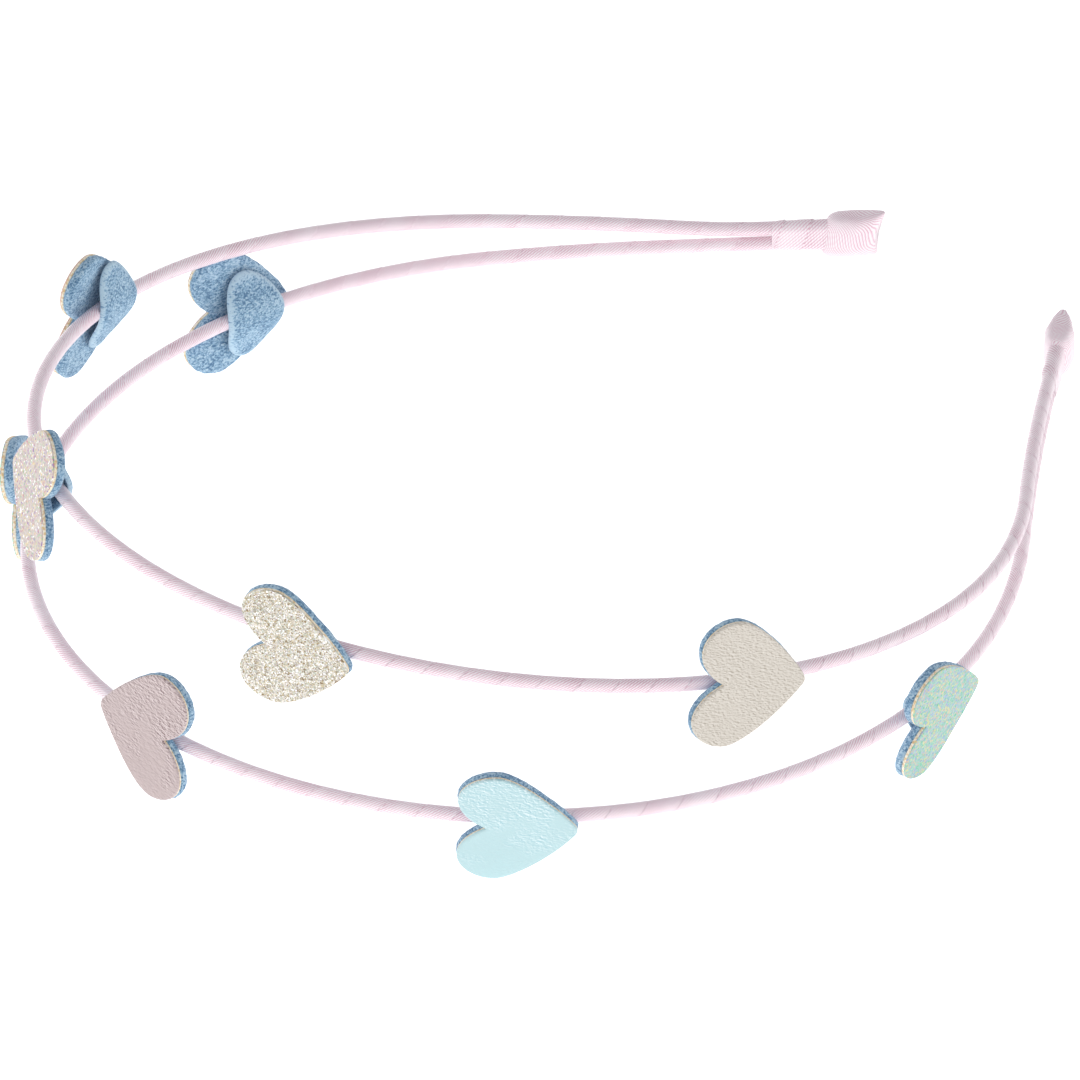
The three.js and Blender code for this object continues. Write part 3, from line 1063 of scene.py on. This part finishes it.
@dataclass
class Heart:
    """One heart on its strand: a face sheet on a felt heart before the wire, and a felt pad behind it."""

    strand: Strand
    number: int
    along: float
    towards: Tip
    slide: float
    raise_by: float
    lean_deg: float
    roll_deg: float
    pad: Pad
    face: Face
    cut: HeartCut = HeartCut()
    felt_bottom: float = 1.1
    felt_top: float = 2.2
    face_top: float = 2.75
    # Depth of the sheets' slow swell, and how fast it changes across a heart and from heart to heart
    swell: float = 0.16
    swell_per_mm: float = 0.16
    swell_along: float = 0.37
    # How far the rims of felt, leather and glitter stray from the cut, and how fast that changes
    felt_ruffle: float = 0.09
    leather_ruffle: float = 0.015
    glitter_ruffle: float = 0.03
    ruffle_per_mm: float = 2.3
    ruffle_per_height: float = 3.0
    # Sizes of the rings that fill a flat side, as shares of the outline
    fill_shares: tuple[float, ...] = (0.84, 0.66, 0.48, 0.3, 0.14)
    # How fast what is drawn on a sheet changes with its height
    drawn_per_height: float = 0.9
    # How far a flake's corner strays and how far it keeps from the rim, as shares of a flake
    flake_stray: float = 0.32
    flake_clearance: float = 0.7
    pad_thickness: float = 0.75
    pad_front: float = 0.12
    pad_narrowing: float = 0.28
    pad_most_slide: float = 0.5
    # How far the pad stands off the wire, and how far across the strand it stays level there
    pad_off_wire: float = 0.05
    pad_level: float = 0.2
    # How late the pad thins towards its rim, and where on the way there its painted rim highlight rises
    pad_fullness: int = 9
    pad_highlight_rise: tuple[float, float] = (0.84, 0.98)
    pad_wobble: float = 0.02
    wobble_reach: float = 1.7
    dimple: float = 0.08
    dimple_per_mm: float = 0.6
    # Where the dimples and the fibres of a pad are read from, past the heart's place on the strand
    dimple_seed: float = 7.0
    pad_seed: float = 40.0
    pad_rings: int = 14
    pad_sides: int = 64

    @property
    def name(self) -> str:
        """Name of the heart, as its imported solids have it."""
        return f"{self.strand.level.value}_{self.number}"

    @property
    def up_sign(self) -> int:
        """Sign of the heart's Y axis upwards."""
        return -1 if self.towards is Tip.LEFT else 1

    def glued_axes(self) -> Matrix:
        """Find the frame of the glued place: X along the strand to the heart's point, Z outwards."""
        tangent, outward, upward = self.strand.axes(self.along)
        lean = math.radians(self.lean_deg)
        facing = outward * math.cos(lean) - upward * math.sin(lean)
        pointing = -tangent if self.towards is Tip.LEFT else tangent
        across = facing.cross(pointing)
        turn = Matrix((pointing, across, facing)).transposed().to_4x4()
        return Matrix.Translation(self.strand.point(self.along)) @ turn

    def card_axes(self) -> Matrix:
        """Find the frame of the heart itself, slid, raised and rolled on the strand."""
        shove = Matrix.Translation(Vector((self.slide, self.up_sign * self.raise_by, 0)))
        roll = Matrix.Rotation(self.up_sign * math.radians(self.roll_deg), 4, "Z")
        return self.glued_axes() @ shove @ roll

    def build(self, felt: HeatheredFelt, edge: CutEdge) -> None:
        """Build the heart's three layers and dress them."""
        self.build_felt(felt)
        if isinstance(self.face.value, GlitterSheet):
            self.build_glitter(edge)
        else:
            self.build_leather(edge)
        self.build_pad(felt)

    def swell_at(self, spot: Vector) -> float:
        """Find how far the glued sheets rise out of flat at a spot on the heart."""
        x, y = spot.x * self.swell_per_mm, spot.y * self.swell_per_mm
        return self.swell * noise.noise(Vector((x, y, self.along * self.swell_along)))

    def lay(self, shape: Shape, card: Matrix, spot: Vector, height: float) -> int:
        """Add a point of a sheet at a spot on the heart, and return its number."""
        place = Vector((spot.x, spot.y, self.along + height * self.drawn_per_height))
        return shape.add_point(card @ Vector((spot.x, spot.y, height + self.swell_at(spot))), place)

    def plate(
        self, layers: Sequence[tuple[float, float, int]], ruffle: float, is_open: bool = False
    ) -> tuple[Shape, list[int]]:
        """Stack rings of the heart's outline from the back face round the rim, and fill the flat sides.

        Args:
            layers: inset from the outline, height, and material slot of the band that starts there.
            ruffle: how far the rim strays from the cut.
            is_open: whether the front is left open.

        Returns:
            The shape, and the ring round its front.
        """
        outline = self.cut.outline()
        count = len(outline)
        inward = []
        for i in range(count):
            run = (outline[(i + 1) % count] - outline[i - 1]).normalized()
            inward.append(Vector((-run.y, run.x, 0)))
        card = self.card_axes()
        shape = Shape()
        rings = []
        for inset, height, _ in layers:
            ring = []
            seed = height * self.ruffle_per_height + self.along
            for spot, way in zip(outline, inward):
                x, y = spot.x * self.ruffle_per_mm, spot.y * self.ruffle_per_mm
                stray = ruffle * noise.noise(Vector((x, y, seed)))
                ring.append(self.lay(shape, card, spot + way * (inset + stray), height))
            rings.append(ring)
        for (first, second), (_, _, slot) in zip(zip(rings, rings[1:]), layers):
            shape.add_band(first, second, slot)
        self.fill(shape, rings[0], layers[0], True)
        if not is_open:
            self.fill(shape, rings[-1], layers[-1], False)
        return shape, rings[-1]

    def fill(
        self, shape: Shape, ring: Sequence[int], layer: tuple[float, float, int], is_back: bool
    ) -> None:
        """Fill a flat side of the heart with rings that shrink to its middle.

        Args:
            shape: the shape to fill.
            ring: the ring that bounds the side.
            layer: inset of that ring, the side's height and its material slot.
            is_back: whether the side looks back at the wire.
        """
        inset, height, slot = layer
        card = self.card_axes()
        outline = self.cut.outline()
        scale = 1 - inset / (self.cut.length / 2)
        outer = list(ring)
        for share in self.fill_shares:
            inner = [self.lay(shape, card, spot * (scale * share), height) for spot in outline]
            shape.add_band(*((inner, outer) if is_back else (outer, inner)), slot)
            outer = inner
        middle = self.lay(shape, card, Vector(), height)
        shape.add_fan(outer[::-1] if is_back else outer, middle, slot)

    def build_felt(self, felt: HeatheredFelt) -> None:
        """Build the felt heart, with a soft uneven rim."""
        low, high = self.felt_bottom, self.felt_top
        layers = (
            (0.35, low, 0),
            (0.08, low + 0.14, 0),
            (-0.06, mix(low, high, 0.4), 0),
            (-0.04, mix(low, high, 0.7), 0),
            (0.06, high, 0),
        )
        shape, _ = self.plate(layers, self.felt_ruffle)
        shape.hand_in(f"heart_felt_{self.name}", "cut", felt)

    def build_leather(self, edge: CutEdge) -> None:
        """Build a leather face: a punched sheet with a pale cut edge and a skin that rolls over it."""
        low, high = self.felt_top, self.face_top
        layers = (
            (0.1, low, 1),
            (0.02, low + 0.06, 1),
            (0.0, mix(low, high, 0.5), 0),
            (0.05, high - 0.1, 0),
            (0.16, high - 0.02, 0),
            (0.32, high, 0),
        )
        shape, _ = self.plate(layers, self.leather_ruffle)
        shape.hand_in(f"heart_face_{self.name}", "skin", self.face.value, edge)

    def build_glitter(self, edge: CutEdge) -> None:
        """Build a glitter face: a punched sheet whose front is a bed of flakes, each tipped its own way."""
        finish = self.face.value
        low, high = self.felt_top, self.face_top
        layers = (
            (0.1, low, 1),
            (0.02, low + 0.06, 1),
            (0.0, mix(low, high, 0.7), 0),
            (0.06, high - 0.04, 0),
        )
        shape, numbers = self.plate(layers, self.glitter_ruffle, is_open=True)
        # Each heart has its own draw, from its place in tenths of a millimetre
        draw = random.Random(int(self.along * 10))
        card = self.card_axes()
        spots = [shape.places[i].xy for i in numbers]
        count = len(spots)
        for spot in self.scatter(spots, finish.flake_mm, draw):
            height = high + self.swell_at(spot) + draw.uniform(-1, 1) * finish.tip_mm
            point = card @ Vector((spot.x, spot.y, height))
            numbers.append(shape.add_point(point, Vector((spot.x, spot.y, self.along))))
            spots.append(spot)
        edges = [(i, (i + 1) % count) for i in range(count)]
        rim = [list(range(count))]
        _, _, flakes, sources, _, _ = geometry.delaunay_2d_cdt(spots, edges, rim, INSIDE_RIM, LEAST_EDGE)
        for flake in flakes:
            shape.add_face(*(numbers[sources[corner][0]] for corner in flake))
        colours = [linear(tint) for tint in finish.tints]
        shape.tints = [draw.choice(colours) for _ in shape.faces]
        shape.hand_in(f"heart_face_{self.name}", "glitter", finish, edge, is_flat=True)

    def scatter(self, rim: Sequence[Vector], spacing: float, draw: random.Random) -> list[Vector]:
        """Scatter flake corners evenly inside the heart.

        Args:
            rim: the rim's corners in the plane.
            spacing: distance between flake corners.
            draw: where the chance comes from.

        Returns:
            Places in the plane, clear of the rim.
        """
        places = []
        stray = self.flake_stray
        clear = (self.flake_clearance * spacing) ** 2
        rows = int(self.cut.width / (spacing * ROW_STEP)) + 1
        columns = int(self.cut.length / spacing) + 1
        for row in range(rows):
            for column in range(columns):
                x = (column + 0.5 * (row % 2) + draw.uniform(-stray, stray)) * spacing - self.cut.length / 2
                y = (row + draw.uniform(-stray, stray)) * spacing * ROW_STEP - self.cut.width / 2
                spot = Vector((x, y))
                inside = False
                for a, b in zip(rim, [*rim[1:], rim[0]]):
                    if (a.y > y) != (b.y > y) and x < mix(a.x, b.x, (y - a.y) / (b.y - a.y)):
                        inside = not inside
                if inside and min((corner - spot).length_squared for corner in rim) > clear:
                    places.append(spot)
        return places

    def drape(self, y: float) -> float:
        """Find the height of the pad's middle layer at a distance across the strand."""
        ridge = -self.strand.diameter / 2 - self.pad_off_wire
        rim = self.felt_bottom - self.pad.value.off_felt
        return mix(ridge, rim, smooth(self.pad_level, self.pad.value.width / 2, abs(y)))

    def build_pad(self, felt: HeatheredFelt) -> None:
        """Build the oval felt pad: pressed down at its rim and swelling over the wire."""
        glued = self.glued_axes()
        cut = self.pad.value
        offset = cut.towards_point + min(self.slide, self.pad_most_slide)
        half_length, half_width = cut.length / 2, cut.width / 2
        shape = Shape()

        def place(rho: float, angle: float, is_front: bool) -> int:
            """Add a point of the pad at a share of the way from its middle to its rim."""
            cos, sin = math.cos(angle), math.sin(angle)
            narrow = 1 - self.pad_narrowing * cos
            spot = Vector((cos * self.wobble_reach, sin * self.wobble_reach, self.along))
            wobble = 1 + self.pad_wobble * noise.noise(spot)
            x = half_length * rho * cos * wobble
            y = half_width * rho * sin * narrow * wobble
            plump = math.sqrt(max(0.0, 1 - rho**self.pad_fullness))
            spot = Vector((x * self.dimple_per_mm, y * self.dimple_per_mm, self.along + self.dimple_seed))
            thickness = self.pad_thickness + self.dimple * noise.noise(spot)
            z = self.drape(y) + (self.pad_front if is_front else -thickness) * plump
            drawn = Vector((x, y, self.along + self.pad_seed))
            return shape.add_point(glued @ Vector((x + offset, y, z)), drawn, smooth(*self.pad_highlight_rise, rho))

        angles = [math.tau * side / self.pad_sides for side in range(self.pad_sides)]
        shares = [math.sin(math.pi / 2 * (ring + 1) / self.pad_rings) for ring in range(self.pad_rings)]
        rim = [place(1.0, angle, False) for angle in angles]
        for is_front in (False, True):
            outer = rim
            for share in reversed(shares[:-1]):
                inner = [place(share, angle, is_front) for angle in angles]
                shape.add_band(*((outer, inner) if is_front else (inner, outer)))
                outer = inner
            middle = place(0.0, 0.0, is_front)
            shape.add_fan(outer if is_front else outer[::-1], middle)
        shape.hand_in(f"heart_pad_{self.name}", "felt", felt)


@dataclass(frozen=True)
class Lamp:
    """Soft square lamp that looks at the band, in metres and watts."""

    name: str
    place: tuple[float, float, float]
    size: float
    watts: float

    def build(self) -> None:
        """Hang the lamp."""
        data = bpy.data.lights.new(self.name, "AREA")
        data.size = self.size
        data.energy = self.watts
        lamp = bpy.data.objects.new(self.name, data)
        lamp.location = self.place
        lamp.rotation_euler = (-Vector(self.place)).to_track_quat("-Z", "Y").to_euler()
        bpy.context.scene.collection.objects.link(lamp)


@dataclass
class Studio:
    """Paper sweep, soft lamps and the camera at the photograph's viewing angle."""

    target_from: Vector
    azimuth_deg: float = 41.71
    elevation_deg: float = 32.75
    distance_m: float = 5.0
    photo_px: int = 1080
    px_per_mm: float = 8.361
    # Where the middle of the line between the tips shows in the photograph
    tips_px: tuple[float, float] = (973.9, 283.3)
    sensor_mm: float = 36.0
    clip_m: tuple[float, float] = (0.1, 100.0)
    floor_m: float = 24.0
    # Colours of the room, and the heights at which they show, from level to overhead
    room: tuple[str, ...] = ("#f6f6f8", "#e0e0e3", "#a4a5a9")
    room_stops: tuple[float, ...] = (0.1, 0.5, 0.95)
    room_strength: float = 0.97
    lamps: tuple[Lamp, ...] = (
        Lamp("window_lamp", (-0.8, -0.5, 0.4), size=0.3, watts=1.2),
        Lamp("fill_lamp", (0.9, -0.3, 0.4), size=0.3, watts=0.45),
    )

    def view_axes(self) -> tuple[Vector, Vector, Vector]:
        """Find the view's directions to the right, upwards and back to the camera."""
        a, e = math.radians(self.azimuth_deg), math.radians(self.elevation_deg)
        back = Vector((math.sin(a) * math.cos(e), -math.cos(a) * math.cos(e), math.sin(e)))
        right = Vector((math.cos(a), math.sin(a), 0))
        return right, back.cross(right), back

    def build_camera(self) -> None:
        """Stand the camera far off, because the photograph shows almost no perspective."""
        right, upward, back = self.view_axes()
        half = self.photo_px / 2
        aside = (self.tips_px[0] - half) / self.px_per_mm
        above = (half - self.tips_px[1]) / self.px_per_mm
        target = (self.target_from - right * aside - upward * above) * MM
        data = bpy.data.cameras.new("photo_camera")
        data.sensor_width = self.sensor_mm
        data.lens = self.px_per_mm / MM * self.distance_m * self.sensor_mm / self.photo_px
        data.clip_start, data.clip_end = self.clip_m
        camera = bpy.data.objects.new("photo_camera", data)
        turn = Matrix((right, upward, back)).transposed().to_4x4()
        camera.matrix_world = Matrix.Translation(target + back * self.distance_m) @ turn
        bpy.context.scene.collection.objects.link(camera)
        bpy.context.scene.camera = camera

    def build_floor(self, finish: PaleFloor) -> None:
        """Lay the paper sweep under the band."""
        half = self.floor_m / 2
        mesh = bpy.data.meshes.new("paper_sweep")
        corners = [(-half, -half, 0), (half, -half, 0), (half, half, 0), (-half, half, 0)]
        mesh.from_pydata(corners, [], [(0, 1, 2, 3)])
        mesh.materials.append(material_of(finish))
        floor = bpy.data.objects.new("paper_sweep", mesh)
        bpy.context.scene.collection.objects.link(floor)

    def build_room(self) -> None:
        """Light the band from all round, paler towards the ground."""
        world = bpy.data.worlds.new("soft_room")
        world.use_nodes = True
        tree = world.node_tree
        tree.nodes.clear()
        way = add_node(tree, "ShaderNodeTexCoord").outputs["Generated"]
        height = add_node(tree, "ShaderNodeSeparateXYZ", {"Vector": way}).outputs["Z"]
        links = {"Color": add_ramp(tree, height, self.room_stops, self.room), "Strength": self.room_strength}
        glow = add_node(tree, "ShaderNodeBackground", links).outputs["Background"]
        add_node(tree, "ShaderNodeOutputWorld", {"Surface": glow})
        bpy.context.scene.world = world

    def build(self) -> None:
        """Build the room, the floor, the lamps and the camera."""
        self.build_room()
        self.build_floor(PaleFloor())
        for lamp in self.lamps:
            lamp.build()
        bpy.context.scene.view_settings.view_transform = "Standard"
        self.build_camera()


# Hearts in order from the left tip of each strand: place along it, the tip that the heart points to, how far
# it is slid and raised, lean and roll in degrees, its pad and its face
HEART_ROWS: dict[Level, tuple[tuple[float, Tip, float, float, float, float, Pad, Face], ...]] = {
    Level.LOWER: (
        (79, Tip.LEFT, 0, 0.3, 2, -6, Pad.WIDE, Face.PINK),
        (125, Tip.LEFT, 0.5, 0, 8, 6, Pad.SMALL, Face.MINT),
        (183, Tip.LEFT, 1, 1, -6.5, 2, Pad.SMALL, Face.PINK),
        (229.5, Tip.RIGHT, 0.5, 0.4, 11, -1.5, Pad.SMALL, Face.AQUA),
        (286, Tip.RIGHT, 0.4, 0, 10.5, 4, Pad.SMALL, Face.MINT),
    ),
    Level.UPPER: (
        (105, Tip.LEFT, 0, -0.9, -6, 4.5, Pad.WIDE, Face.PEACH),
        (155.6, Tip.LEFT, 1, -0.8, -10.5, -2, Pad.SMALL, Face.IVORY),
        (203, Tip.RIGHT, 0, -0.6, 3, -1.5, Pad.SMALL, Face.CHAMPAGNE),
        (256, Tip.RIGHT, 0.3, 0.6, -4.5, -3, Pad.SMALL, Face.BEIGE),
    ),
}
# The left tab was pressed askew; the right one shows only its edge
TAB_SKEW: dict[Tip, float] = {Tip.LEFT: 0.17, Tip.RIGHT: 0.0}
UPPER_TILT_DEG = 8.5
HOOP_SAMPLES = 400


def band_shift(hoop: Hoop, margin: float) -> Vector:
    """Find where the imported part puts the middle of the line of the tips.

    Args:
        hoop: the curve of the lower strand, which lies level.
        margin: how far the strand stops short of each tip.

    Returns:
        The shift from the hoop's own place to the part's frame, in millimetres.
    """
    run = hoop.length - 2 * margin
    places = [hoop.place(margin + run * i / HOOP_SAMPLES) for i in range(HOOP_SAMPLES + 1)]
    middle_x = (min(x for x, _ in places) + max(x for x, _ in places)) / 2
    middle_y = -(min(r for _, r in places) + max(r for _, r in places)) / 2
    low, high = (Vector(corner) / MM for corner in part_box("strand_lower"))
    centre = (low + high) / 2
    return Vector((centre.x - middle_x, centre.y - middle_y, centre.z))


def main() -> None:
    """Build the strands, the bindings, the hearts and the studio, and keep the two boxes."""
    logging.basicConfig(level=logging.INFO, format="%(message)s")
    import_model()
    hoop = Hoop()
    shift = band_shift(hoop, Strand.margin)
    satin, felt, edge = SatinRibbon(), HeatheredFelt(), CutEdge()
    strands = {
        Level.LOWER: Strand(Level.LOWER, hoop, shift),
        Level.UPPER: Strand(Level.UPPER, hoop, shift, UPPER_TILT_DEG),
    }
    for strand in strands.values():
        strand.build(satin)
    for tip in Tip:
        EndBinding(tip, list(strands.values()), TAB_SKEW[tip]).build(satin)
    for level, rows in HEART_ROWS.items():
        for number, row in enumerate(rows, 1):
            Heart(strands[level], number, *row).build(felt, edge)
    Studio(shift).build()


if __name__ == "__main__":
    main()
